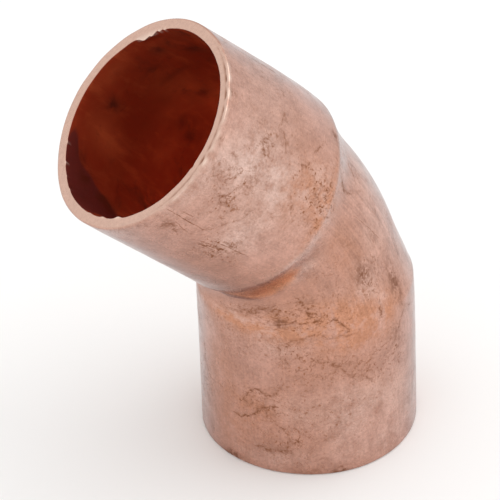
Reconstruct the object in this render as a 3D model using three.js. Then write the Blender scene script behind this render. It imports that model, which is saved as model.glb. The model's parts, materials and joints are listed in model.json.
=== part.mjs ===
// A 45 degree copper elbow for 15 mm tube, of the end-feed capillary kind that is soldered or brazed on.
// It is one piece of metal: a length of 15 mm copper tube, bent, with a socket swaged out at each end.
//
// Millimetres, +Z up. The elbow stands on the rim of its lower socket, whose axis is vertical. The bend lies in
// the XZ plane and leans towards +X. The origin is in the plane of the lower rim, under the middle of the
// elbow's bounding box.

import * as THREE from "three";

// Driving dimensions
const TUBE_DIAMETER = 15; // outside diameter of the tube it takes, and of its own bent middle
const SOCKET_BORE = 15.1; // inside diameter of each socket, tube plus solder gap
const WALL = 0.9; // thickness of the metal
const BEND_ANGLE = THREE.MathUtils.degToRad(45);
const BEND_RADIUS = 12.7; // of the centreline
const LEG_LENGTH = 13.4; // straight centreline from each rim to the start of the bend
const SOCKET_LENGTH = 12.9; // parallel part of each socket, from rim to shoulder
const SHOULDER_LENGTH = 2.4; // where the socket narrows to the tube's diameter, which stops the tube
const HEEL_DRAW = 0.55; // how far bending draws in the outside of the bend at its middle
const HEEL_REACH = 5; // centreline length over which that fades away
const EDGE_BREAK = 0.12; // deburred edge on both sides of each rim

// How finely the round shapes are divided
const SIDES_ROUND = 64;
const STEPS_SHOULDER = 6;
const STEPS_MIDDLE = 12;

const socketRadius = SOCKET_BORE / 2 + WALL;
const middleRadius = TUBE_DIAMETER / 2;
const bendLength = BEND_RADIUS * BEND_ANGLE;
const totalLength = 2 * LEG_LENGTH + bendLength;

// Outside radius at a distance along the centreline, the same from either end.
function outsideRadius(along) {
  const fromRim = Math.min(along, totalLength - along);
  const shoulder = THREE.MathUtils.smoothstep(fromRim, SOCKET_LENGTH, SOCKET_LENGTH + SHOULDER_LENGTH);
  return THREE.MathUtils.lerp(socketRadius, middleRadius, shoulder);
}

// Distances along the centreline where the wall needs a ring of vertices: none in the parallel sockets.
function wallStations() {
  const shoulderEnd = SOCKET_LENGTH + SHOULDER_LENGTH;
  const stations = [];
  for (let i = 0; i < STEPS_SHOULDER; i++) {
    stations.push(SOCKET_LENGTH + (SHOULDER_LENGTH * i) / STEPS_SHOULDER);
  }
  for (let i = 0; i <= STEPS_MIDDLE; i++) {
    stations.push(THREE.MathUtils.lerp(shoulderEnd, totalLength - shoulderEnd, i / STEPS_MIDDLE));
  }
  for (let i = 1; i <= STEPS_SHOULDER; i++) {
    stations.push(totalLength - shoulderEnd + (SHOULDER_LENGTH * i) / STEPS_SHOULDER);
  }
  return stations;
}

// Closed section of the wall before bending: x is the radius and y is the distance along the centreline.
function wallSection() {
  const outside = wallStations().map((along) => new THREE.Vector2(outsideRadius(along), along));
  const inside = outside.map((point) => new THREE.Vector2(point.x - WALL, point.y)).reverse();
  const boreRadius = socketRadius - WALL;
  const section = [
    new THREE.Vector2(boreRadius + EDGE_BREAK, 0),
    new THREE.Vector2(socketRadius - EDGE_BREAK, 0),
    new THREE.Vector2(socketRadius, EDGE_BREAK),
    ...outside,
    new THREE.Vector2(socketRadius, totalLength - EDGE_BREAK),
    new THREE.Vector2(socketRadius - EDGE_BREAK, totalLength),
    new THREE.Vector2(boreRadius + EDGE_BREAK, totalLength),
    new THREE.Vector2(boreRadius, totalLength - EDGE_BREAK),
    ...inside,
    new THREE.Vector2(boreRadius, EDGE_BREAK),
  ];
  section.push(section[0].clone());
  return section;
}

// Centreline point at a distance along it, with its heading as an angle from +Z towards +X.
function centreline(along) {
  const heading = THREE.MathUtils.clamp((along - LEG_LENGTH) / BEND_RADIUS, 0, BEND_ANGLE);
  const before = Math.min(along, LEG_LENGTH);
  const after = Math.max(along - LEG_LENGTH - bendLength, 0);
  const x = BEND_RADIUS * (1 - Math.cos(heading)) + after * Math.sin(heading);
  const z = before + BEND_RADIUS * Math.sin(heading) + after * Math.cos(heading);
  return { x, z, heading };
}

// Bends a straight tube, whose axis is +Y, so that its axis follows the centreline.
function bend(geometry) {
  const position = geometry.getAttribute("position");
  for (let i = 0; i < position.count; i++) {
    const sideways = position.getX(i);
    const along = position.getY(i);
    const towardsThroat = position.getZ(i);
    const radius = Math.hypot(sideways, towardsThroat);
    const heelShare = (1 - towardsThroat / radius) / 2;
    const fromMiddle = (along - totalLength / 2) / HEEL_REACH;
    const drawn = 1 - (HEEL_DRAW * heelShare * Math.exp(-fromMiddle * fromMiddle)) / radius;
    const { x, z, heading } = centreline(along);
    position.setXYZ(
      i,
      x + towardsThroat * drawn * Math.cos(heading),
      sideways * drawn,
      z - towardsThroat * drawn * Math.sin(heading),
    );
  }
}

const copper = new THREE.MeshStandardMaterial({ color: 0xc99a87, roughness: 0.42, metalness: 1 });

const geometry = new THREE.LatheGeometry(wallSection(), SIDES_ROUND);
bend(geometry);
geometry.computeVertexNormals();

const elbowBody = new THREE.Mesh(geometry, copper);
elbowBody.name = "elbow_body";

// Moves the origin under the middle of the bounding box.
const box = new THREE.Box3().setFromObject(elbowBody);
elbowBody.position.x = -(box.min.x + box.max.x) / 2;

const elbow = new THREE.Group();
elbow.add(elbowBody);

export default elbow;
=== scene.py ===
"""Looks for a 45 degree copper pipe elbow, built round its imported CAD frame. Metres, +Z up.

One visual piece stands for the CAD node. It is the same bent tube, with the slight ovalling, ripples, dents
and burrs of a real swaged fitting in its mesh. One copper material holds its colour, stains and wear.
A point on the tube is named by its distance along the centreline from the lower rim, and by its angle round
the tube, which is 0 on the throat, the inside of the bend, and 180 on the heel.
"""

import json
import math

import bpy
import numpy as np
from mathutils import Matrix, Vector


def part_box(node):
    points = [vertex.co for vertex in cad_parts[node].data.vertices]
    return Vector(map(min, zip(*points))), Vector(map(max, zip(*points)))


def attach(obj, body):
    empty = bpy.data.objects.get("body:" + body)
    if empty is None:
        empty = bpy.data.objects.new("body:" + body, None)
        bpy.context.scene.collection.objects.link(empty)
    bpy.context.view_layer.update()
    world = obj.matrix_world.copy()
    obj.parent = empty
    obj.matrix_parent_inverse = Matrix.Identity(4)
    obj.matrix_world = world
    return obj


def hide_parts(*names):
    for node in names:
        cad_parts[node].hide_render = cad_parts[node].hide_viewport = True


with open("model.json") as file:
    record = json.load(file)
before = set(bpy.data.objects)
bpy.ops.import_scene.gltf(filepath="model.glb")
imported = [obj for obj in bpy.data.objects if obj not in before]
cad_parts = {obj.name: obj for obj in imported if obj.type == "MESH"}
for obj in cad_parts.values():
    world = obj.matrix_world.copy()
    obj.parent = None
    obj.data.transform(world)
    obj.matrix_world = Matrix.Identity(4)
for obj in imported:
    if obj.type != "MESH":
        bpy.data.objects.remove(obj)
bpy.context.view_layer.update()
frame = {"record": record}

MM = 0.001
NODE = "elbow_body"

# Sizes of the tube that the frame's box and mounts don't give
WALL = 0.9 * MM
BEND_RADIUS = 12.7 * MM
SOCKET_LENGTH = 13.1 * MM
SHOULDER_LENGTH = 2.8 * MM
SHOULDER_ROUNDING = 1.15  # a power above 1 rounds the corner where the shoulder leaves the socket
THROAT_EASING = 8.0 * MM  # the shoulders are this much longer on the throat
THROAT_EASING_POWER = 2.5
MIDDLE_BLEND = 0.25 * MM  # softens the valley where the two shoulders meet
MIDDLE_RADIUS = 7.55 * MM
MIDDLE_TAPER = 0.08 * MM  # the bent middle is this much wider at the taper's reach below its centre
TAPER_REACH = 3.0 * MM
HEEL_DRAW = 0.48 * MM  # the bend has drawn the heel in by this much
HEEL_REACH = 4.6 * MM
HEEL_SHIFT = 0.9 * MM  # the deepest draw lies slightly nearer the upper socket

# Out-of-round shape of each rim: how far the radius swells, and the angle of the swelling
UPPER_OVAL = (0.14 * MM, math.radians(-6))
LOWER_TRIANGLE = (-0.10 * MM, math.radians(30))
OVAL_REACH = 11 * MM

# Rounded edges of the cut ends
OUTER_EDGE = 0.16 * MM
INNER_EDGE = 0.07 * MM

# Faults of the surface, each with the length of its waves, which spreads between two multiples of it
RIPPLE_SPREAD = (0.7, 1.5)
RIPPLE = 0.012 * MM
RIPPLE_WAVE = 8 * MM
FINE_RIPPLE = 0.003 * MM
FINE_RIPPLE_WAVE = 2.2 * MM
RIM_UNEVENNESS = 0.012 * MM
RIM_WAVE = 2.5 * MM
RIM_DEPTH_SHIFT = 3  # moves the rim's noise along with depth, so that it varies across the wall too
BURR_HEIGHT = 0.006 * MM
BURR_WAVE = 0.8 * MM
BURR_REACH = 0.18 * MM
BURR_OVERHANG = 0.20  # a burr also stands out of the mouth, by this share of its height
# Painted glints: burrs higher than these get a paler colour for the light they catch
BURR_SHINE_FROM = 0.04 * MM  # a burr this high starts to shine
BURR_SHINE_FULL = 0.12 * MM
# Single burrs on the upper mouth's inner edge: angle in degrees, width and height in mm
BURRS = [
    (10, 0.25, 0.05), (21, 0.30, 0.08), (33, 0.35, 0.14), (92, 0.20, -0.08), (213, 0.16, 0.10),
    (217, 0.18, 0.15), (222, 0.25, 0.32), (228, 0.70, 0.55), (312, 0.18, 0.07), (325, 0.18, 0.08),
    (334, 0.15, 0.05), (344, 0.20, 0.06),
]
# The cut ends' inner edges are slightly belled out by deburring
BELL = 0.05 * MM
BELL_REACH = 0.3 * MM
# Lip that the pipe cutter rolled up on the upper mouth's outer edge, over part of the way round
LIP_HEIGHT = 0.045 * MM
LIP_WIDTH = 0.14 * MM
LIP_MIDDLE = math.radians(115)
LIP_HALF_ANGLE = math.radians(62)
LIP_FADE = 0.6  # the lip fades out beyond this share of its half angle
LIP_EVENNESS = 0.7  # the even share of its height, to which the ragged share is added
LIP_RAGGEDNESS = 0.3
LIP_WAVE = 0.9 * MM
LIP_LEAST = 0.1
LIP_MOST = 1.6
# Strength of the painted glint along the lip's crest
LIP_SHINE = 0.9
# Groove that the cutter scored in the face beside the lip
GROOVE_DEPTH = 0.08 * MM
GROOVE_WIDTH = 0.07 * MM
GROOVE_PLACE = 0.30 * MM  # below the outside
# Dents: distance along in mm, angle in degrees, length, width and depth in mm. Negative depths swell out
DENTS = [
    (33.8, 118, 1.6, 2.4, 0.03), (26.0, 130, 1.5, 2.0, 0.035), (19.0, 70, 2.0, 2.2, 0.03),
    (9.0, 100, 2.2, 2.6, 0.03), (4.5, 40, 2.0, 2.4, 0.025), (12.0, 250, 2.4, 2.0, 0.03),
    (28.0, 300, 2.2, 2.4, 0.03), (30.0, 210, 2.0, 2.6, 0.03), (27.5, 150, 4.0, 5.0, -0.12),
    (22.4, 146, 1.6, 4.0, 0.13), (37.0, 215, 6.0, 7.0, 0.16), (37.0, 320, 5.0, 5.0, 0.08),
    (36.5, 352, 4.0, 3.0, -0.10),
]

# Marks of the outside as soft spots: distance along in mm, angle in degrees, length and width in mm, and
# strength. Smudges are brown film, veins are where fine lines gather, and drawn spots show draw lines.
# Pale spots are mostly paler copper, but some on the throat side are painted highlight, and the orange
# spots in the crotch are a painted reflection of the upper socket
OUTSIDE_MARKS = {
    "smudge": [
        (14.9, 123, 1.0, 0.7, 1.5), (13.7, 121, 0.8, 0.6, 1.2), (14.8, 48, 0.8, 0.8, 1.8),
        (16.8, 102, 0.9, 0.8, 1.0), (16.3, 105, 0.5, 1.2, 0.6), (33.0, 60, 1.6, 1.6, 0.3),
        (19.2, 102, 2.2, 0.5, 0.6), (16.0, 30, 0.6, 1.6, 0.8), (16.9, 40, 0.6, 1.4, 0.9),
        (28.3, 62, 0.9, 0.8, 0.6), (35.2, 58, 0.5, 0.7, 1.1), (33.6, 86, 1.4, 0.9, 0.25),
        (6.0, 33, 1.0, 1.2, 0.8), (2.2, 45, 0.4, 1.4, 0.8), (10.2, 116, 1.4, 0.6, 0.7),
        (10.0, 80, 0.5, 0.9, 0.6), (0.3, 14, 0.3, 0.9, 2.5), (0.3, 76, 0.3, 0.7, 2.5),
        (0.3, 62, 0.25, 0.5, 1.2), (36.4, 111, 0.2, 0.25, 1.8), (36.5, 137, 0.5, 0.3, 2.5),
        (34.4, 108, 0.2, 0.2, 1.2), (30.5, 140, 0.3, 0.5, 1.2), (24.2, 149, 0.4, 0.4, 1.4),
        (31.0, 173, 2.6, 0.2, 1.0), (11.2, 25, 0.9, 0.8, 0.4), (5.2, 60, 0.7, 0.9, 0.4),
        (4.8, 76, 0.8, 0.6, 0.3), (20.0, 200, 1.6, 1.0, 0.8), (6.0, 212, 1.6, 1.2, 0.7),
        (28.0, 232, 1.2, 1.4, 0.8), (9.0, 282, 1.8, 1.0, 0.7), (31.0, 300, 1.2, 1.4, 0.7),
        (12.9, 52, 0.2, 4.0, 0.5), (17.0, 262, 1.0, 1.2, 0.8), (3.0, 322, 0.8, 1.6, 0.7),
        (25.0, 342, 1.2, 1.0, 0.6),
    ],
    "vein": [
        (15.6, 54, 2.0, 4.0, 0.8), (16.6, 34, 0.8, 2.6, 1.0), (11.0, 50, 1.6, 2.6, 0.5),
        (10.0, 78, 1.5, 3.4, 0.6), (6.2, 32, 1.6, 2.6, 0.8), (2.8, 46, 1.6, 2.0, 0.7),
        (29.8, 61, 1.8, 1.6, 1.2), (33.0, 88, 1.6, 2.0, 0.7), (34.6, 60, 1.2, 1.4, 0.6),
        (24.6, 109, 1.6, 2.2, 0.8), (32.0, 123, 1.0, 1.0, 0.6), (9.6, 114, 2.4, 1.6, 0.5),
        (5.0, 74, 2.0, 2.4, 0.3), (13.0, 15, 1.6, 1.6, 0.5), (8.0, 100, 2.0, 2.0, 0.4),
        (16.6, 104, 1.4, 1.2, 0.8), (20.0, 205, 2.6, 2.4, 0.7), (6.5, 215, 2.6, 2.6, 0.7),
        (28.5, 230, 2.4, 2.8, 0.8), (9.0, 280, 2.8, 2.2, 0.7), (31.0, 300, 2.2, 2.6, 0.7),
        (17.0, 260, 2.0, 2.2, 0.7), (3.5, 320, 1.8, 2.8, 0.7), (26.0, 340, 2.0, 2.0, 0.6),
    ],
    "speckle": [
        (25.3, 112, 1.8, 2.2, 0.8), (27.2, 113, 1.4, 1.8, 0.5), (24.0, 106, 1.0, 1.4, 0.8),
        (30.5, 128, 2.5, 3.0, 0.25), (16.4, 34, 0.7, 2.4, 1.2), (14.6, 66, 1.1, 3.0, 1.0),
        (8.0, 60, 4.0, 4.0, 0.2), (33.0, 89, 1.4, 1.8, 0.6), (29.4, 59, 1.6, 1.6, 0.8),
        (12.0, 22, 1.4, 2.0, 0.4), (9.5, 116, 2.0, 1.4, 0.5), (5.0, 70, 1.6, 2.4, 0.3),
        (24.5, 250, 2.0, 2.5, 0.8), (10.0, 220, 3.0, 3.0, 0.4),
    ],
    "annealed": [
        (25.2, 111, 2.2, 2.8, 0.6), (27.2, 112, 1.6, 2.4, 0.5), (13.9, 14, 1.3, 2.6, 0.8),
        (13.6, 38, 1.2, 3.0, 1.0), (15.2, 48, 1.3, 3.2, 0.9), (14.0, 62, 1.4, 2.6, 0.9),
        (14.2, 80, 1.7, 2.8, 1.1), (15.0, 74, 1.2, 1.8, 0.4), (12.4, 86, 1.6, 2.8, 1.3),
        (13.0, 112, 1.6, 2.5, 0.9), (19.5, 98, 2.6, 1.4, 0.6), (23.4, 106, 1.2, 2.4, 0.7),
        (23.9, 106, 0.3, 5.0, 0.6), (5.8, 30, 2.0, 2.4, 0.9), (2.8, 14, 2.0, 2.0, 0.6),
        (8.5, 6, 3.5, 1.6, 0.5), (24.5, 240, 2.0, 6.0, 0.8), (13.5, 230, 1.6, 6.0, 0.8),
        (13.5, 310, 1.6, 6.0, 0.7), (24.0, 320, 1.8, 5.0, 0.6),
    ],
    # Mostly paler copper; the spots from 20.8 to 23.1 mm along, between 62 and 138 degrees, are painted
    # highlight that lightens the shade under the upper socket's edge
    "pale": [
        (32.0, 110, 3.2, 2.2, 1.0), (25.3, 112, 1.8, 2.4, 0.6), (12.8, 46, 1.5, 1.8, 0.5),
        (15.6, 103, 2.0, 1.5, 0.5), (18.4, 122, 1.5, 1.5, 0.4), (32.5, 140, 4.0, 4.0, 0.3),
        (29.4, 80, 2.6, 2.6, 0.6), (33.6, 82, 1.6, 2.4, 0.25), (29.4, 68, 1.4, 1.6, 0.4),
        (28.8, 105, 1.6, 2.0, 0.5), (35.8, 97, 1.0, 2.5, 0.5), (36.3, 76, 1.0, 2.5, 0.5),
        (1.3, 103, 1.5, 2.0, 0.5), (36.0, 33, 1.2, 1.5, 0.6), (21.6, 62, 1.4, 2.4, 0.5),
        (23.0, 138, 0.6, 2.2, 0.4), (23.1, 92, 0.5, 2.4, 0.5), (23.1, 76, 0.6, 1.4, 0.9),
        (20.0, 158, 2.0, 1.6, 0.5), (16.5, 145, 6.0, 2.4, 0.5), (5.0, 114, 4.0, 2.6, 0.4),
        (4.5, 79, 3.5, 1.6, 0.6), (4.2, 342, 5.0, 2.0, 1.0), (3.0, 137, 3.5, 2.2, 0.8),
        (1.5, 40, 1.2, 4.0, 0.4), (20.8, 72, 1.0, 1.4, 0.4), (22.8, 220, 0.9, 5.0, 0.7),
        (14.0, 270, 5.0, 5.0, 0.4), (31.0, 250, 5.0, 6.0, 0.5), (34.0, 101, 1.6, 2.0, 0.25),
        (14.4, 18, 1.4, 1.8, 0.5), (12.0, 352, 1.6, 2.0, 0.5), (6.0, 56, 1.8, 2.0, 0.35),
        (6.0, 95, 1.8, 2.0, 0.45), (22.6, 68, 1.0, 2.2, 0.5), (24.4, 28, 1.0, 1.4, 0.5),
    ],
    # Painted reflection of the upper socket: orange patches in the crotch just under its edge
    "crotch_reflection": [
        (20.8, 34, 2.2, 4.0, 0.8), (22.0, 62, 1.6, 2.6, 0.5),
    ],
    "drawn": [
        (19.0, 140, 5.0, 4.0, 1.0), (20.0, 100, 4.0, 4.0, 0.5), (17.0, 220, 5.0, 6.0, 0.9),
        (18.0, 290, 4.0, 5.0, 0.5),
    ],
}
# Marks of the bore, in the same form. The last kind is a painted shadow of the rim inside the upper mouth,
# and the smudges from 314 to 343 degrees, 32.3 to 35.2 mm along, paint its dark edge
BORE_MARKS = {
    "smudge": [
        (33.8, 279, 0.8, 0.6, 1.1), (34.6, 233, 0.7, 0.8, 1.0), (32.8, 249, 0.6, 0.9, 0.8),
        (31.4, 242, 0.4, 1.8, 0.6), (27.7, 244, 0.6, 0.6, 0.8), (26.7, 266, 0.7, 0.7, 0.7),
        (25.4, 272, 0.6, 0.7, 0.7), (34.8, 322, 0.25, 1.4, 1.2), (35.2, 314, 0.4, 0.8, 0.8),
        (34.2, 327, 0.8, 0.7, 1.3), (33.0, 337, 0.8, 0.6, 1.5), (32.3, 343, 0.8, 0.6, 1.4),
        (34.0, 214, 1.8, 1.6, 0.5), (35.6, 201, 1.0, 1.5, 0.6), (27.5, 322, 1.2, 1.4, 0.8),
        (10.0, 60, 2.0, 2.0, 0.8), (6.0, 200, 2.0, 2.4, 0.8), (4.0, 320, 1.6, 2.0, 0.7),
    ],
    "annealed": [
        (33.6, 295, 1.3, 1.5, 0.7), (32.0, 301, 1.2, 1.0, 0.6), (35.6, 262, 0.8, 1.6, 0.5),
        (26.4, 242, 2.4, 1.6, 0.6), (30.5, 252, 2.2, 1.6, 0.5), (5.0, 120, 2.5, 3.0, 0.7),
    ],
    # Painted shadow of the rim: a darker purple sickle inside the upper mouth
    "rim_shadow": [
        (36.2, 316, 0.8, 2.4, 1.0), (35.2, 331, 1.8, 1.7, 1.0), (34.3, 345, 2.5, 1.6, 1.3),
        (36.4, 352, 1.2, 2.0, 1.0),
    ],
}

# The bore is coloured darker near the mouths, and lighter and more orange further in
BORE_DULL_DEPTH = 4 * MM
BORE_BRIGHT_DEPTH = 12 * MM
BORE_DULLNESS = 0.36
BORE_BRIGHTENING = 0.36

# Fine winding lines of the outside: a strength, and a chain of (distance along in mm, angle in degrees)
HAIRLINES = [
    (1.3, [(17.5, 60), (15.5, 64), (15.0, 70), (14.2, 77), (13.2, 84)]),
    (0.7, [(12.0, 46), (12.8, 56), (13.2, 68), (12.7, 84)]),
    (0.6, [(12.0, 47), (10.8, 45), (10.8, 52), (11.2, 57)]),
    (0.9, [(11.0, 64), (10.2, 76), (9.0, 84), (7.8, 95)]),
    (1.1, [(6.4, 24), (7.6, 31), (7.5, 42), (8.3, 46)]),
    (1.2, [(4.6, 18), (4.9, 28), (6.2, 36), (6.2, 41)]),
    (1.1, [(2.1, 32), (2.1, 45), (3.3, 53)]),
    (1.0, [(4.3, 46), (3.3, 50)]),
    (0.8, [(11.9, 122), (10.4, 115), (9.6, 116)]),
    (0.7, [(12.9, 121), (12.1, 128), (11.7, 136)]),
    (1.0, [(14.1, 106), (13.5, 104)]),
    (0.6, [(32.4, 66), (31.3, 76), (30.3, 87)]),
    (1.0, [(31.2, 57), (30.4, 60), (28.7, 60)]),
    (0.8, [(33.6, 86), (32.8, 92), (32.5, 97)]),
    (0.8, [(33.4, 84), (32.2, 83)]),
    (0.7, [(35.4, 92), (34.8, 97)]),
    (0.8, [(32.6, 119), (32.0, 124), (31.4, 122)]),
    (0.9, [(27.4, 101), (27.0, 98)]),
    (1.2, [(35.2, 56), (34.8, 60), (33.8, 56)]),
    (0.8, [(21.9, 145), (20.9, 138)]),
    (0.8, [(15.8, 24), (16.5, 32), (17.3, 46)]),
    (0.9, [(15.0, 50), (14.6, 64), (14.3, 74)]),
    (0.8, [(30.5, 141), (30.8, 136)]),
    (1.1, [(31.8, 125), (32.2, 119), (31.6, 117)]),
    (1.2, [(30.2, 131), (30.0, 127)]),
    (1.1, [(26.6, 133), (26.0, 138)]),
    (1.2, [(24.3, 150), (23.9, 144)]),
    (1.1, [(27.8, 122), (27.2, 124)]),
    (1.0, [(22.9, 128), (22.1, 124), (21.6, 126)]),
]
# Straight scratches of the outside, in the same form
SCRATCHES = [
    (0.8, [(36.4, 66), (35.4, 66)]),
    (1.5, [(35.4, 66), (33.6, 66)]),
    (0.8, [(33.6, 66), (32.4, 66)]),
    (0.9, [(35.1, 69.5), (34.1, 69.5)]),
    (0.8, [(34.9, 62), (33.2, 60)]),
    (1.0, [(31.5, 59), (30.1, 61)]),
    (1.1, [(30.6, 63.5), (27.4, 65)]),
    (0.8, [(30.0, 66), (29.0, 66)]),
    (0.8, [(30.8, 57), (29.9, 58)]),
    (0.8, [(30.0, 55), (29.0, 54.5)]),
    (0.7, [(20.4, 118), (17.5, 124)]),
    (0.7, [(10.8, 231), (8.2, 236)]),
    (0.8, [(10.2, 236), (8.6, 241)]),
    (0.8, [(29.0, 268), (25.8, 274)]),
    (0.7, [(33.5, 205), (31.0, 199)]),
    (0.7, [(8.0, 338), (5.5, 331)]),
]
# How far from its chain each kind fades out
HAIRLINE_REACH = 0.7 * MM
SCRATCH_REACH = 0.25 * MM
NO_LINE = 5 * WALL  # stands for the distance to a line where none is nearer

# More winding lines, from random starts on the sides that the listed ones leave bare
WANDERING_LINES = 34
WANDERING_STRENGTH = 0.75
WANDERING_SEED = 7
WANDERING_ALONG = (2, 35)  # mm
WANDERING_ANGLES = (165, 365)  # degrees
WANDERING_STEPS = (2, 6)  # at least the first, and fewer than the second
WANDERING_STEP = 1.3 * MM
WANDERING_TURN = 0.6  # spread of the turn at each step, in radians

# Mesh density
COLUMNS = 400
OUTER_STEP = 0.30 * MM
INNER_STEP = 0.45 * MM
EDGE_STEPS = 5
FACE_STEPS = 11


# ---------------------------------------------------------------- shape of the tube


def smooth(value, low, high):
    """0 below low, 1 above high, with a smooth step between."""
    share = np.clip((value - low) / (high - low), 0, 1)
    return share * share * (3 - 2 * share)


def near(distance, reach):
    """1 at no distance, falling off smoothly to almost nothing at twice the reach."""
    return np.exp(-((distance / reach) ** 2))


class Centreline:
    """Straight leg, arc and straight leg, from the lower mouth's centre to the upper one's."""

    def __init__(self):
        low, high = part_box(NODE)
        mounts = {m["name"]: m for m in frame["record"]["mounts"]}
        upper = mounts["upper_socket_mouth"]
        self.socket_radius = (high.y - low.y) / 2
        self.angle = math.atan2(upper["axis"][0], upper["axis"][2])
        self.start = np.array([low.x + self.socket_radius, 0, low.z])
        rim_middle = self.socket_radius - WALL / 2
        upper_centre_x = upper["pos_m"][0] + rim_middle * math.cos(self.angle)
        centre_to_face = (upper_centre_x - self.start[0]) / math.sin(self.angle)
        self.leg = centre_to_face - BEND_RADIUS * math.tan(self.angle / 2)
        self.arc = BEND_RADIUS * self.angle
        self.length = 2 * self.leg + self.arc

    def place(self, along, angle, radius):
        """Points of the bent tube at distances along it, angles round it and radii."""
        turn = np.clip((along - self.leg) / BEND_RADIUS, 0, self.angle)
        before = np.minimum(along, self.leg)
        after = np.maximum(along - self.leg - self.arc, 0)
        centre_x = BEND_RADIUS * (1 - np.cos(turn)) + after * np.sin(turn)
        centre_z = before + BEND_RADIUS * np.sin(turn) + after * np.cos(turn)
        towards_throat = radius * np.cos(angle)
        x = centre_x + towards_throat * np.cos(turn)
        y = radius * np.sin(angle)
        z = centre_z - towards_throat * np.sin(turn)
        return np.stack([x, y, z], axis=-1) + self.start


LINE = Centreline()


def ripple(points, wavelength, seed, waves=32):
    """Smooth seeded noise of about unit size at 3D points: a sum of plane waves in random directions."""
    rng = np.random.default_rng(seed)
    direction = rng.normal(size=(waves, 3))
    direction /= np.linalg.norm(direction, axis=1, keepdims=True)
    frequency = 2 * math.pi / (wavelength * rng.uniform(*RIPPLE_SPREAD, waves))
    phase = rng.uniform(0, 2 * math.pi, waves)
    total = np.zeros(points.shape[:-1])
    for wave in range(waves):
        total += np.cos(points @ direction[wave] * frequency[wave] + phase[wave])
    return total * math.sqrt(2 / waves)


def straightened(along, angle, depth=0.0):
    """The tube's wall unbent, as points of a straight tube of the socket's radius."""
    x = (LINE.socket_radius - depth) * np.cos(angle)
    y = (LINE.socket_radius - depth) * np.sin(angle)
    return np.stack(np.broadcast_arrays(x, y, along), axis=-1)


def aside(angle, middle):
    """Distance round the outside from the middle angle to each angle, the short way, signed."""
    return np.angle(np.exp(1j * (angle - middle))) * LINE.socket_radius


def shoulder(from_rim, angle):
    """0 on the socket and 1 on the bent middle: steepest just past the socket's end, then easing out."""
    length = SHOULDER_LENGTH + THROAT_EASING * ((1 + np.cos(angle)) / 2) ** THROAT_EASING_POWER
    share = np.clip((from_rim - SOCKET_LENGTH) / length, 0, 1) ** SHOULDER_ROUNDING
    return 1 - (1 - share) ** 2


def outside_radius(along, angle):
    """Radius of the outside at each distance and angle, with the real fitting's gentle faults of form."""
    from_rim = -MIDDLE_BLEND * np.logaddexp(-along / MIDDLE_BLEND, (along - LINE.length) / MIDDLE_BLEND)
    from_middle = along - LINE.length / 2
    middle = MIDDLE_RADIUS - MIDDLE_TAPER * from_middle / TAPER_REACH
    radius = LINE.socket_radius + (middle - LINE.socket_radius) * shoulder(from_rim, angle)
    heel_drawn = near(from_middle - HEEL_SHIFT, HEEL_REACH) * (1 - np.cos(angle)) / 2
    radius = radius - HEEL_DRAW * heel_drawn
    near_upper = 1 - smooth(LINE.length - along, 0, OVAL_REACH)
    near_lower = 1 - smooth(along, 0, OVAL_REACH)
    oval = UPPER_OVAL[0] * np.cos(2 * (angle - UPPER_OVAL[1]))
    triangle = LOWER_TRIANGLE[0] * np.cos(3 * (angle - LOWER_TRIANGLE[1]))
    return radius + near_upper * oval + near_lower * triangle


def section():
    """Rows of the closed wall section, from the lower rim round: distance along and depth from outside."""
    quarter = np.linspace(0, math.pi / 2, EDGE_STEPS)
    outer_edge = [(OUTER_EDGE * (1 - math.sin(t)), OUTER_EDGE * (1 - math.cos(t))) for t in quarter]
    inner_edge = [(INNER_EDGE * (1 - math.cos(t)), WALL - INNER_EDGE * (1 - math.sin(t))) for t in quarter]
    face = [(0.0, depth) for depth in np.linspace(OUTER_EDGE, WALL - INNER_EDGE, FACE_STEPS)[1:-1]]
    rim = outer_edge + face + inner_edge

    def wall(step, edge, depth):
        """Rows along one face of the wall, between its rounded edges."""
        count = round((LINE.length - 2 * edge) / step)
        return [(along, depth) for along in np.linspace(edge, LINE.length - edge, count)[1:-1]]

    lower_rim = list(reversed(rim))
    upper_rim = [(LINE.length - along, depth) for along, depth in rim]
    outside = wall(OUTER_STEP, OUTER_EDGE, 0.0)
    inside = list(reversed(wall(INNER_STEP, INNER_EDGE, WALL)))
    return np.array(lower_rim + outside + upper_rim + inside)


def spots(along, angle, places):
    """Sum of soft oval spots on the tube: each is distance, angle, length, width and strength."""
    total = np.zeros(np.broadcast(along, angle).shape)
    for centre, degrees, length, width, strength in places:
        round_tube = aside(angle, math.radians(degrees)) / (width * MM)
        down_tube = (along - centre * MM) / (length * MM)
        total += strength * np.exp(-(down_tube**2) - round_tube**2)
    return total


def burrs(angle):
    """How far the upper mouth's inner edge stands in towards the axis, round the mouth."""
    ragged = ripple(straightened(0, angle), BURR_WAVE, seed=5)
    height = BURR_HEIGHT * np.clip(ragged, 0, None)
    for degrees, width, extra in BURRS:
        height = height + extra * MM * near(aside(angle, math.radians(degrees)), width * MM)
    return height


def lip(angle):
    """Share of the rolled lip's full height, round the upper mouth."""
    from_middle = np.abs(np.angle(np.exp(1j * (angle - LIP_MIDDLE))))
    ragged = LIP_EVENNESS + LIP_RAGGEDNESS * ripple(straightened(0, angle), LIP_WAVE, seed=6)
    rolled = 1 - smooth(from_middle, LIP_HALF_ANGLE * LIP_FADE, LIP_HALF_ANGLE)
    return rolled * np.clip(ragged, LIP_LEAST, LIP_MOST)


def groove(depth):
    """Share of the scored groove's full depth, across the upper mouth's cut face."""
    return near(depth - GROOVE_PLACE, GROOVE_WIDTH)


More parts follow.
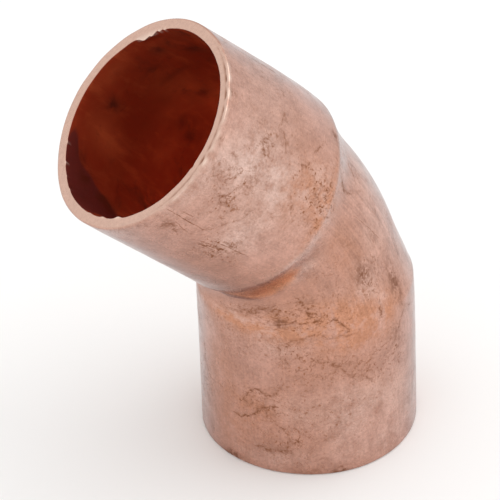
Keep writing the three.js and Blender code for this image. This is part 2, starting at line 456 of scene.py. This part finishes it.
def tube_surface(along, depth, angle):
    """Places every point of the wall, faults of form included."""
    straight = straightened(along, angle)
    radius = outside_radius(along, angle) - depth
    radius = radius + RIPPLE * ripple(straight, RIPPLE_WAVE, seed=1)
    radius = radius + FINE_RIPPLE * ripple(straight, FINE_RIPPLE_WAVE, seed=2)
    radius = radius - MM * spots(along, angle, DENTS)

    from_upper = LINE.length - along
    at_inner_edge = near(from_upper, BURR_REACH) * smooth(depth, WALL - BURR_REACH, WALL)
    burr = burrs(angle) * at_inner_edge
    at_outer_edge = near(from_upper, LIP_WIDTH) * (1 - smooth(depth, 0, GROOVE_PLACE))
    in_groove = groove(depth) * near(from_upper, LIP_WIDTH)
    radius = radius - burr + LIP_HEIGHT * lip(angle) * at_outer_edge
    along = along + BURR_OVERHANG * burr - GROOVE_DEPTH * lip(angle) * in_groove

    from_rim = np.minimum(along, from_upper)
    radius = radius + BELL * near(from_rim, BELL_REACH) * smooth(depth, WALL / 2, WALL)
    rim_noise = ripple(straight + RIM_DEPTH_SHIFT * depth[..., None], RIM_WAVE, seed=3)
    hollow = np.clip(rim_noise + 1, 0, None)
    unevenness = RIM_UNEVENNESS * hollow * near(from_rim, OUTER_EDGE)
    inwards = np.where(along < from_upper, unevenness, -unevenness)
    return LINE.place(along + inwards, angle, radius)


# ---------------------------------------------------------------- marks of the surface


def wandering_lines():
    """Chains that wander over the sides without listed hairlines, in the form of HAIRLINES."""
    rng = np.random.default_rng(WANDERING_SEED)
    lines = []
    for _ in range(WANDERING_LINES):
        along = rng.uniform(*WANDERING_ALONG) * MM
        angle = math.radians(rng.uniform(*WANDERING_ANGLES))
        heading = rng.uniform(0, 2 * math.pi)
        line = [(along / MM, math.degrees(angle))]
        for _ in range(rng.integers(*WANDERING_STEPS)):
            heading += rng.normal(0, WANDERING_TURN)
            along += WANDERING_STEP * math.cos(heading)
            angle += WANDERING_STEP * math.sin(heading) / LINE.socket_radius
            line.append((along / MM, math.degrees(angle)))
        lines.append((WANDERING_STRENGTH, line))
    return lines


def across_lines(lines, along, angle):
    """Signed distance from each place on the tube to the nearest of the lines, and that line's strength."""
    across = np.full(np.broadcast(along, angle).shape, NO_LINE)
    nearest_strength = np.zeros(across.shape)
    for strength, line in lines:
        for (start, start_degrees), (end, end_degrees) in zip(line, line[1:]):
            run = (end - start) * MM
            turn = math.radians(end_degrees - start_degrees) * LINE.socket_radius
            down_tube = along - start * MM
            round_tube = aside(angle, math.radians(start_degrees))
            share = np.clip((down_tube * run + round_tube * turn) / (run**2 + turn**2), 0, 1)
            distance = np.hypot(down_tube - share * run, round_tube - share * turn)
            side = np.where(run * round_tube > turn * down_tube, 1, -1)
            nearer = distance < np.abs(across)
            across = np.where(nearer, distance * side, across)
            nearest_strength = np.where(nearer, strength, nearest_strength)
    return across, nearest_strength


def mark_attributes(along, depth, angle):
    """Values that the copper material reads at each vertex to place its marks."""
    from_rim = np.minimum(along, LINE.length - along)
    on_outside = 1 - smooth(depth, 0, OUTER_EDGE)
    in_bore = smooth(depth, WALL - INNER_EDGE, WALL) * smooth(from_rim, 0, INNER_EDGE)
    across, strength = across_lines(HAIRLINES + wandering_lines(), along, angle)
    scratch_across, scratch_strength = across_lines(SCRATCHES, along, angle)
    deep = smooth(from_rim, BORE_DULL_DEPTH, BORE_BRIGHT_DEPTH)
    mouth = near(LINE.length - along, BURR_REACH)
    edge = np.where(depth < WALL / 2, OUTER_EDGE, INNER_EDGE)
    shine = smooth(burrs(angle), BURR_SHINE_FROM, BURR_SHINE_FULL) * smooth(depth, WALL - BURR_REACH, WALL)
    crest = lip(angle) * (1 - smooth(depth, LIP_WIDTH / 2, LIP_WIDTH))
    values = {
        # Painted glints: a paler colour on the high burrs and along the lip's crest of the upper mouth
        "burr": (shine + LIP_SHINE * crest) * mouth,
        "groove": lip(angle) * groove(depth) * mouth,
        "bore": in_bore,
        "deep": deep,
        "cut": smooth(depth, 0, OUTER_EDGE) * (1 - smooth(from_rim, 0, edge)),
        "across": across,
        "hairline": on_outside * strength * near(across, HAIRLINE_REACH),
        "scratch_across": scratch_across,
        "scratch": on_outside * scratch_strength * near(scratch_across, SCRATCH_REACH),
    }
    for name, places in OUTSIDE_MARKS.items():
        values[name] = on_outside * spots(along, angle, places)
    # The bore's smudges and annealed patches share the outside's attributes
    for name, places in BORE_MARKS.items():
        values[name] = values.get(name, 0) + in_bore * spots(along, angle, places)
    values["annealed"] = values["annealed"] + in_bore * deep * BORE_BRIGHTENING
    return values


def tube_mesh():
    """The whole wall as one closed mesh."""
    rows = section()
    along = rows[:, :1]
    depth = rows[:, 1:]
    angle = np.linspace(0, 2 * math.pi, COLUMNS, endpoint=False)[None, :]
    points = tube_surface(along, depth, angle)

    count = len(rows)
    row, column = np.meshgrid(np.arange(count), np.arange(COLUMNS), indexing="ij")
    next_row = (row + 1) % count
    next_column = (column + 1) % COLUMNS
    corners = [
        row * COLUMNS + column,
        row * COLUMNS + next_column,
        next_row * COLUMNS + next_column,
        next_row * COLUMNS + column,
    ]
    faces = np.stack(corners, axis=-1).reshape(-1, 4)

    mesh = bpy.data.meshes.new("copper_elbow")
    mesh.from_pydata(points.reshape(-1, 3).tolist(), [], faces.tolist())
    mesh.shade_smooth()
    for name, value in mark_attributes(along, depth, angle).items():
        layer = mesh.attributes.new(name, "FLOAT", "POINT")
        layer.data.foreach_set("value", np.broadcast_to(value, (count, COLUMNS)).ravel())
    straight = mesh.attributes.new("straight", "FLOAT_VECTOR", "POINT")
    straight.data.foreach_set("vector", straightened(along, angle, depth).ravel())
    mesh.update()
    return mesh


def elbow():
    """The fitting's one piece, standing for the CAD node."""
    piece = bpy.data.objects.new("copper_elbow", tube_mesh())
    piece.data.materials.append(copper())
    bpy.context.scene.collection.objects.link(piece)
    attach(piece, "root")
    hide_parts(NODE)


# ---------------------------------------------------------------- material

# Sockets of a Mix node that blends colours, and the step that sets two seeds' noises apart
MIX_FACTOR, MIX_FIRST, MIX_SECOND = 0, 6, 7
MIX_RESULT = 2
SEED_STEP = 7.3


class Shader:
    """Adds nodes to one new material. Each method returns the output socket that the next one uses."""

    def __init__(self, name):
        self.material = bpy.data.materials.new(name)
        self.material.use_nodes = True
        self.tree = self.material.node_tree
        self.tree.nodes.clear()

    def add(self, kind, inputs, output=0, **options):
        """A new node with its inputs linked or set, and its options set."""
        node = self.tree.nodes.new(kind)
        for name, value in options.items():
            setattr(node, name, value)
        for name, value in inputs.items():
            if isinstance(value, bpy.types.NodeSocket):
                self.tree.links.new(value, node.inputs[name])
            else:
                node.inputs[name].default_value = value
        return node.outputs[output]

    def attribute(self, name, output="Fac"):
        """A value that the mesh holds at its vertices."""
        return self.add("ShaderNodeAttribute", {}, output, attribute_name=name)

    def stretched(self, vector, scale):
        """The vector scaled along each axis: a small scale draws a pattern out along that axis."""
        return self.add("ShaderNodeVectorMath", {0: vector, 1: scale}, operation="MULTIPLY")

    def noise(self, vector, size, seed, detail=2.0, roughness=0.5, distortion=0.0):
        """Noise from about 0.3 to 0.7 whose largest features are about size metres across."""
        inputs = {
            "Vector": vector,
            "W": seed * SEED_STEP,
            "Scale": 1 / size,
            "Detail": detail,
            "Roughness": roughness,
            "Distortion": distortion,
        }
        return self.add("ShaderNodeTexNoise", inputs, noise_dimensions="4D")

    def math(self, operation, first, second=0.0):
        return self.add("ShaderNodeMath", {0: first, 1: second}, operation=operation)

    def between(self, value, low, high, start=0.0, end=1.0):
        """Smooth step from start to end while value goes from low to high."""
        inputs = {"Value": value, "From Min": low, "From Max": high, "To Min": start, "To Max": end}
        return self.add("ShaderNodeMapRange", inputs, interpolation_type="SMOOTHSTEP")

    def swing(self, noise, reach):
        """Noise shifted to go either side of zero, by up to about a fifth of the reach."""
        return self.math("MULTIPLY", self.math("SUBTRACT", noise, 0.5), reach)

    def combined(self, operation, values):
        """Many values made into one, by the same operation on each in turn."""
        total = values[0]
        for value in values[1:]:
            total = self.math(operation, total, value)
        return total

    def product(self, *values):
        return self.combined("MULTIPLY", values)

    def sum(self, *values):
        return self.combined("ADD", values)

    def largest(self, *values):
        return self.combined("MAXIMUM", values)

    def capped(self, value):
        return self.math("MINIMUM", value, 1.0)

    def raised(self, value, share):
        """A value from 0 to 1 with its low end raised, so that it keeps only this share of its range."""
        return self.sum(self.product(value, share), 1 - share)

    def blend(self, amount, first, second):
        """Colour that goes from first to second as amount goes from 0 to 1."""
        inputs = {MIX_FACTOR: amount, MIX_FIRST: first, MIX_SECOND: second}
        return self.add("ShaderNodeMix", inputs, MIX_RESULT, data_type="RGBA")

    def shaded(self, colour, shade):
        """The colour made lighter or darker: a shade of 1 leaves it as it is."""
        return self.add("ShaderNodeVectorMath", {0: colour, "Scale": shade}, operation="SCALE")

    def contour(self, field, level, width):
        """1 on the line where a field crosses the level, fading to 0 at width from it."""
        away = self.math("ABSOLUTE", self.math("SUBTRACT", field, level))
        return self.between(away, low=width, high=0.0)

    def bump(self, height, depth, normal=None):
        """Relief of this depth in metres for a height that goes from 0 to 1, on top of any earlier one."""
        inputs = {"Height": height, "Distance": depth, "Strength": 1.0}
        if normal is not None:
            inputs["Normal"] = normal
        return self.add("ShaderNodeBump", inputs)

    def finish(self, inputs):
        """Ends the material with one Principled surface."""
        surface = self.add("ShaderNodeBsdfPrincipled", inputs)
        output = self.tree.nodes.new("ShaderNodeOutputMaterial")
        self.tree.links.new(surface, output.inputs["Surface"])


# Linear reflectances
PINK_COPPER = (0.555, 0.310, 0.242, 1)
BROWN_COPPER = (0.485, 0.250, 0.180, 1)
# Paler copper, also used for the painted highlight under the upper socket's edge
PALE_COPPER_AND_HIGHLIGHT = (0.65, 0.445, 0.38, 1)
ANNEALED_COPPER = (0.575, 0.270, 0.167, 1)
# Colour of the painted reflection in the crotch
CROTCH_REFLECTION_ORANGE = (0.76, 0.36, 0.20, 1)
LINE_BROWN = (0.24, 0.088, 0.038, 1)
SMUDGE_BROWN = (0.25, 0.105, 0.060, 1)
SPECK_BROWN = (0.27, 0.10, 0.04, 1)
# Colour of the painted glints at the upper mouth
GLINT_COPPER = (0.82, 0.61, 0.51, 1)
CUT_COPPER = (0.65, 0.425, 0.34, 1)
BORE_RED = (0.58, 0.074, 0.027, 1)
BORE_ORANGE = (0.95, 0.190, 0.064, 1)
# Colour of the painted rim shadow in the bore
RIM_SHADOW_PURPLE = (0.31, 0.056, 0.044, 1)
# Soot colour, also the dark edge of the painted rim shadow
BORE_SOOT_AND_SHADE = (0.25, 0.045, 0.024, 1)
BORE_GRAZING_TINT = (0.50, 0.16, 0.10, 1)
GRAZING_TINT = (0.80, 0.87, 0.92, 1)

# How a listed line winds: the size and seed of the noise that bends it, and how far it swings
MAIN_WINDING = (1.1 * MM, 13, 1.7 * MM)
SIDE_WINDING = (0.7 * MM, 14, 2.8 * MM)
SCRATCH_WINDING = (1.0 * MM, 19, 0.30 * MM)
MAIN_LINE_WIDTH = 0.075 * MM
SIDE_LINE_WIDTH = 0.055 * MM
HALO_WIDTH = 0.30 * MM
SCRATCH_WIDTH = 0.06 * MM
FINE_LINE_WIDTH = 0.026  # in levels of noise, because the fine lines follow a noise's middle level

# Strengths of the marks, and the share of a line's strength that comes and goes along it
SIDE_LINE_STRENGTH = 0.5
HALO_STRENGTH = 0.5
HAIRLINE_BREAKS = 0.7
SCRATCH_BREAKS = 0.6
SCATTERED_LINES = 0.6
FINE_LINE_STRENGTH = 0.8
CURL_STRENGTH = 0.55
SMUDGE_STRENGTH = 0.75
SPECKS_EVERYWHERE = 0.22
SPECKS_BY_VEINS = 0.7
GROOVE_DARKNESS = 0.75

# Stretches of a pattern along the tube, for streaks and draw lines
STREAKED = (1, 1, 0.3)
DRAWN = (1, 1, 0.07)
FINELY_DRAWN = (1, 1, 0.04)

# How far each pattern shades the outside, and the cut ends
DRAWN_SHADING = 0.3
EXTRA_DRAWN_SHADING = 0.6  # added where drawn spots are
GRAIN_SHADING = 0.75
MOTTLE_SHADING = 0.80
SCORED_SHADING = 0.45

# Heights of the fine relief
HAMMERED_RELIEF = 0.010 * MM
DRAWN_RELIEF = 0.002 * MM
GRAIN_RELIEF = 0.0035 * MM

# Share of the surface that isn't bare metal, its roughness from brightest to dullest, and its specular level
TARNISH = 0.12
FILM_TARNISH = 0.15
BORE_TARNISH = 0.30
BRIGHT_ROUGHNESS = (0.17, 0.30)
OXIDE_ROUGHNESS = (0.40, 0.55)
WORN_LEVELS = (0.3, 0.7)  # levels of the wear pattern that are brightest and dullest
FILM_ROUGHNESS = 0.25
SPECULAR = 0.5
BORE_SPECULAR_LOSS = 0.35


def winding_line(shader, across, where, size, seed, reach, width):
    """A fine line that winds from side to side of the place where across is zero."""
    winding = shader.noise(where, size, seed, detail=4, roughness=0.65)
    return shader.contour(shader.sum(across, shader.swing(winding, reach)), level=0.0, width=width)


def listed_hairlines(shader, where, broken):
    """The listed hairlines: a main line in a faint broken halo, with a finer line winding beside it."""
    across = shader.attribute("across")
    main_line = winding_line(shader, across, where, *MAIN_WINDING, MAIN_LINE_WIDTH)
    side_line = winding_line(shader, across, where, *SIDE_WINDING, SIDE_LINE_WIDTH)
    halo = winding_line(shader, across, where, *MAIN_WINDING, HALO_WIDTH)
    drawn = shader.largest(
        main_line,
        shader.product(side_line, SIDE_LINE_STRENGTH),
        shader.product(halo, broken, HALO_STRENGTH),
    )
    return shader.product(shader.attribute("hairline"), drawn, shader.raised(broken, HAIRLINE_BREAKS))


def fine_lines(shader, where, broken):
    """Unlisted winding lines where veins gather, and tight curls where speckle does."""
    zones = shader.noise(where, size=5.0 * MM, seed=11, detail=3)
    scattered = shader.product(shader.between(zones, low=0.48, high=0.66), SCATTERED_LINES)
    winding = shader.noise(where, size=1.5 * MM, seed=15, detail=5, roughness=0.62, distortion=0.9)
    lines = shader.product(
        shader.contour(winding, level=0.5, width=FINE_LINE_WIDTH),
        shader.sum(shader.attribute("vein"), scattered),
    )
    curled = shader.noise(where, size=0.48 * MM, seed=18, detail=4, roughness=0.6, distortion=0.6)
    curls = shader.product(
        shader.contour(curled, level=0.5, width=FINE_LINE_WIDTH),
        shader.attribute("speckle"),
    )
    both = shader.sum(shader.product(lines, FINE_LINE_STRENGTH), shader.product(curls, CURL_STRENGTH))
    return shader.product(both, broken)


def scratches(shader, where, broken):
    """The listed scratches, nearly straight."""
    across = shader.attribute("scratch_across")
    line = winding_line(shader, across, where, *SCRATCH_WINDING, SCRATCH_WIDTH)
    return shader.product(shader.attribute("scratch"), line, shader.raised(broken, SCRATCH_BREAKS))


def line_amount(shader, where):
    """All brown lines of the outside, with one pattern that breaks them up along their length."""
    patchy = shader.noise(where, size=0.40 * MM, seed=12, detail=3, roughness=0.7)
    broken = shader.between(patchy, low=0.38, high=0.56)
    kinds = [kind(shader, where, broken) for kind in (listed_hairlines, fine_lines, scratches)]
    return shader.capped(shader.sum(*kinds))


def smudge_amount(shader, where):
    """Soft cloudy patches of brown film."""
    clouds = shader.noise(where, size=0.55 * MM, seed=16, detail=5, roughness=0.75)
    smudge = shader.product(shader.attribute("smudge"), shader.between(clouds, low=0.38, high=0.60))
    return shader.capped(shader.product(smudge, SMUDGE_STRENGTH))


def speck_amount(shader, where):
    """Small brown specks, thickest in the speckled zones."""
    spotted = shader.noise(where, size=0.26 * MM, seed=17, detail=3, roughness=0.6)
    by_veins = shader.product(shader.attribute("vein"), SPECKS_BY_VEINS)
    presence = shader.sum(shader.attribute("speckle"), by_veins, SPECKS_EVERYWHERE)
    return shader.capped(shader.product(shader.between(spotted, low=0.57, high=0.68), presence))


def outside_colour(shader, where):
    """Pink copper with brown tones, pale and annealed zones, painted highlight and a painted orange
    reflection in the crotch, shaded by grain and draw lines.
    """
    tone = shader.noise(where, size=7.0 * MM, seed=21, detail=4, roughness=0.55)
    mottle = shader.noise(where, size=1.4 * MM, seed=22, detail=6, roughness=0.68)
    grain = shader.noise(where, size=0.20 * MM, seed=23, detail=3, roughness=0.7)
    drawn = shader.noise(shader.stretched(where, DRAWN), size=0.24 * MM, seed=24, detail=3, roughness=0.6)
    colour = shader.blend(shader.between(tone, low=0.35, high=0.65), PINK_COPPER, BROWN_COPPER)
    # Paler copper, and painted highlight under the upper socket's edge
    pale = shader.product(shader.attribute("pale"), shader.between(mottle, low=0.25, high=0.60))
    colour = shader.blend(shader.capped(pale), colour, PALE_COPPER_AND_HIGHLIGHT)
    annealed = shader.product(shader.attribute("annealed"), shader.between(mottle, low=0.66, high=0.36))
    colour = shader.blend(shader.capped(annealed), colour, ANNEALED_COPPER)
    # Painted orange reflection of the upper socket in the crotch
    reflected = shader.sum(shader.attribute("crotch_reflection"), shader.swing(mottle, reach=0.6))
    colour = shader.blend(shader.between(reflected, low=0.3, high=0.7), colour, CROTCH_REFLECTION_ORANGE)
    drawn_shading = shader.sum(shader.product(shader.attribute("drawn"), EXTRA_DRAWN_SHADING), DRAWN_SHADING)
    shade = shader.sum(
        shader.swing(drawn, drawn_shading),
        shader.swing(grain, GRAIN_SHADING),
        shader.swing(mottle, MOTTLE_SHADING),
        1.0,
    )
    return shader.shaded(colour, shade)


def bore_colour(shader, where):
    """Red and orange oxide left by annealing, with sooty patches, and a painted shadow of the rim: a darker
    purple sickle by the mouth.
    """
    tone = shader.noise(where, size=6.0 * MM, seed=31, detail=4, roughness=0.6, distortion=0.5)
    soot = shader.noise(where, size=2.0 * MM, seed=32, detail=5, roughness=0.6, distortion=0.6)
    along_bore = shader.stretched(where, STREAKED)
    streaked = shader.noise(along_bore, size=1.4 * MM, seed=33, detail=5, roughness=0.65)
    orange = shader.sum(
        shader.between(tone, low=0.42, high=0.64, end=0.5),
        shader.between(streaked, low=0.50, high=0.70, end=0.5),
        shader.attribute("annealed"),
    )
    colour = shader.blend(shader.capped(orange), BORE_RED, BORE_ORANGE)
    # Painted shadow of the rim, in darker purple
    rim_shadow = shader.sum(shader.attribute("rim_shadow"), shader.swing(tone, reach=0.5))
    colour = shader.blend(shader.between(rim_shadow, low=0.35, high=0.60), colour, RIM_SHADOW_PURPLE)
    # Soot, and the dark edge of the painted rim shadow
    listed = shader.product(shader.attribute("smudge"), shader.between(soot, low=0.35, high=0.55))
    scattered = shader.between(soot, low=0.54, high=0.72, end=0.5)
    colour = shader.blend(shader.capped(shader.sum(listed, scattered)), colour, BORE_SOOT_AND_SHADE)
    shade = shader.between(shader.attribute("deep"), low=0.0, high=1.0, start=1 - BORE_DULLNESS)
    return shader.shaded(colour, shade)


def cut_colour(shader, where):
    """Plain metal of the cut ends, with the cutter's marks and its brown groove."""
    scored = shader.noise(where, size=0.35 * MM, seed=35, detail=4, roughness=0.7)
    colour = shader.shaded(CUT_COPPER[:3], shader.sum(shader.swing(scored, SCORED_SHADING), 1.0))
    return shader.blend(shader.product(shader.attribute("groove"), GROOVE_DARKNESS), colour, LINE_BROWN)


def relief(shader, where):
    """Fine bumps: hammered hollows, draw lines along the tube, and grain."""
    hammered = shader.noise(where, size=0.9 * MM, seed=43, detail=3, roughness=0.5)
    drawn = shader.noise(shader.stretched(where, FINELY_DRAWN), size=0.20 * MM, seed=44, detail=2)
    grain = shader.noise(where, size=0.12 * MM, seed=42, detail=3, roughness=0.6)
    normal = shader.bump(hammered, HAMMERED_RELIEF)
    normal = shader.bump(drawn, DRAWN_RELIEF, normal)
    return shader.bump(grain, GRAIN_RELIEF, normal)


def copper():
    """Worn copper: bright outside and on the cut ends, dull oxide in the bore, brown film in the stains, and
    painted light in its colour: glints at the upper mouth, highlight and an orange reflection by the crotch,
    and a shadow of the rim in the bore.
    """
    shader = Shader("worn_copper")
    where = shader.attribute("straight", "Vector")
    bore = shader.attribute("bore")
    cut = shader.attribute("cut")
    outside = shader.math("SUBTRACT", 1.0, shader.largest(bore, cut))
    lines = shader.product(line_amount(shader, where), outside)
    smudge = shader.product(smudge_amount(shader, where), outside)
    specks = shader.product(speck_amount(shader, where), outside)

    colour = shader.blend(specks, outside_colour(shader, where), SPECK_BROWN)
    colour = shader.blend(smudge, colour, SMUDGE_BROWN)
    colour = shader.blend(lines, colour, LINE_BROWN)
    colour = shader.blend(bore, colour, bore_colour(shader, where))
    colour = shader.blend(cut, colour, cut_colour(shader, where))
    # Painted glints on the upper mouth's burrs and lip crest
    colour = shader.blend(shader.capped(shader.attribute("burr")), colour, GLINT_COPPER)

    film = shader.largest(lines, smudge)
    worn = shader.noise(where, size=1.2 * MM, seed=41, detail=4, roughness=0.6)
    bright = shader.sum(
        shader.between(worn, *WORN_LEVELS, *BRIGHT_ROUGHNESS),
        shader.product(film, FILM_ROUGHNESS),
    )
    oxide = shader.between(worn, *WORN_LEVELS, *OXIDE_ROUGHNESS)
    tarnish = shader.sum(TARNISH, shader.product(film, FILM_TARNISH), shader.product(bore, BORE_TARNISH))
    shader.finish({
        "Base Color": colour,
        "Metallic": shader.math("SUBTRACT", 1.0, tarnish),
        "Roughness": shader.sum(bright, shader.product(bore, shader.math("SUBTRACT", oxide, bright))),
        "Specular IOR Level": shader.math("SUBTRACT", SPECULAR, shader.product(bore, BORE_SPECULAR_LOSS)),
        "Specular Tint": shader.blend(bore, GRAZING_TINT, BORE_GRAZING_TINT),
        "Normal": relief(shader, where),
    })
    return shader.material


# ---------------------------------------------------------------- studio

CAMERA_AZIMUTH = math.radians(152.76)
CAMERA_ELEVATION = math.radians(34.07)
CAMERA_ROLL = math.radians(-3.25)
CAMERA_DISTANCE = 349.1 * MM
CAMERA_FOCUS = (7.6 * MM, 22.0 * MM)  # the point it turns about: out from the lower axis, and up
CAMERA_AIM = (2.75 * MM, -3.1 * MM)  # how far right and up of that point the frame's centre lies
CAMERA_LENS = 332.5
CAMERA_NEAR_LIMIT = 10 * MM

FLOOR_COLOUR = (0.93, 0.93, 0.93, 1)
FLOOR_ROUGHNESS = 0.9
FLOOR_SPECULAR = 0.1
FLOOR_HALF_WIDTH = 4.0
TENT_COLOUR = (1.0, 0.995, 0.985, 1)
SOFTBOX_AZIMUTH = math.radians(-110)
SOFTBOX_ELEVATION = math.radians(50)
SOFTBOX_DISTANCE = 1.2
SOFTBOX_SIZE = 1.3
SOFTBOX_POWER = 4.0
GLOSSY_BOUNCES = 12  # enough for the light that reflects many times inside the bore


def direction(azimuth, elevation):
    """Unit vector out from the origin. Azimuth 0 is -Y and 90 degrees is +X."""
    level = math.cos(elevation)
    return Vector((math.sin(azimuth) * level, -math.cos(azimuth) * level, math.sin(elevation)))


def camera():
    """Long-lens camera above and behind the elbow, looking into its upper mouth."""
    back = direction(CAMERA_AZIMUTH, CAMERA_ELEVATION)
    right = Vector((0, 0, 1)).cross(back).normalized()
    up = back.cross(right)
    tilt = Matrix.Rotation(CAMERA_ROLL, 3, back)
    right, up = tilt @ right, tilt @ up
    focus = Vector((LINE.start[0] + CAMERA_FOCUS[0], 0, CAMERA_FOCUS[1]))
    place = focus + back * CAMERA_DISTANCE
    aim = focus + right * CAMERA_AIM[0] + up * CAMERA_AIM[1]
    back = (place - aim).normalized()
    right = up.cross(back).normalized()
    up = back.cross(right)
    data = bpy.data.cameras.new("camera")
    data.lens = CAMERA_LENS
    data.clip_start = CAMERA_NEAR_LIMIT
    item = bpy.data.objects.new("camera", data)
    item.matrix_world = Matrix((right, up, back)).transposed().to_4x4()
    item.location = place
    bpy.context.scene.collection.objects.link(item)
    bpy.context.scene.camera = item


def floor():
    """A wide plain pale floor."""
    half = FLOOR_HALF_WIDTH
    corners = [(-half, -half, 0), (half, -half, 0), (half, half, 0), (-half, half, 0)]
    mesh = bpy.data.meshes.new("floor")
    mesh.from_pydata(corners, [], [(0, 1, 2, 3)])
    shader = Shader("pale_floor")
    shader.finish({
        "Base Color": FLOOR_COLOUR,
        "Roughness": FLOOR_ROUGHNESS,
        "Specular IOR Level": FLOOR_SPECULAR,
    })
    mesh.materials.append(shader.material)
    item = bpy.data.objects.new("floor", mesh)
    bpy.context.scene.collection.objects.link(item)


def sky():
    """A white light tent, even all round."""
    world = bpy.data.worlds.new("tent")
    bpy.context.scene.world = world
    world.use_nodes = True
    world.node_tree.nodes["Background"].inputs["Color"].default_value = TENT_COLOUR


def softbox():
    """One large soft light above the heel side, for a gentle shadow."""
    data = bpy.data.lights.new("softbox", "AREA")
    data.size = SOFTBOX_SIZE
    data.energy = SOFTBOX_POWER
    item = bpy.data.objects.new("softbox", data)
    back = direction(SOFTBOX_AZIMUTH, SOFTBOX_ELEVATION)
    item.location = back * SOFTBOX_DISTANCE
    item.rotation_mode = "QUATERNION"
    item.rotation_quaternion = back.to_track_quat("Z", "Y")
    item.visible_camera = False
    bpy.context.scene.collection.objects.link(item)


elbow()
floor()
sky()
softbox()
camera()
scene = bpy.context.scene
scene.view_settings.view_transform = "Standard"
scene.cycles.glossy_bounces = GLOSSY_BOUNCES
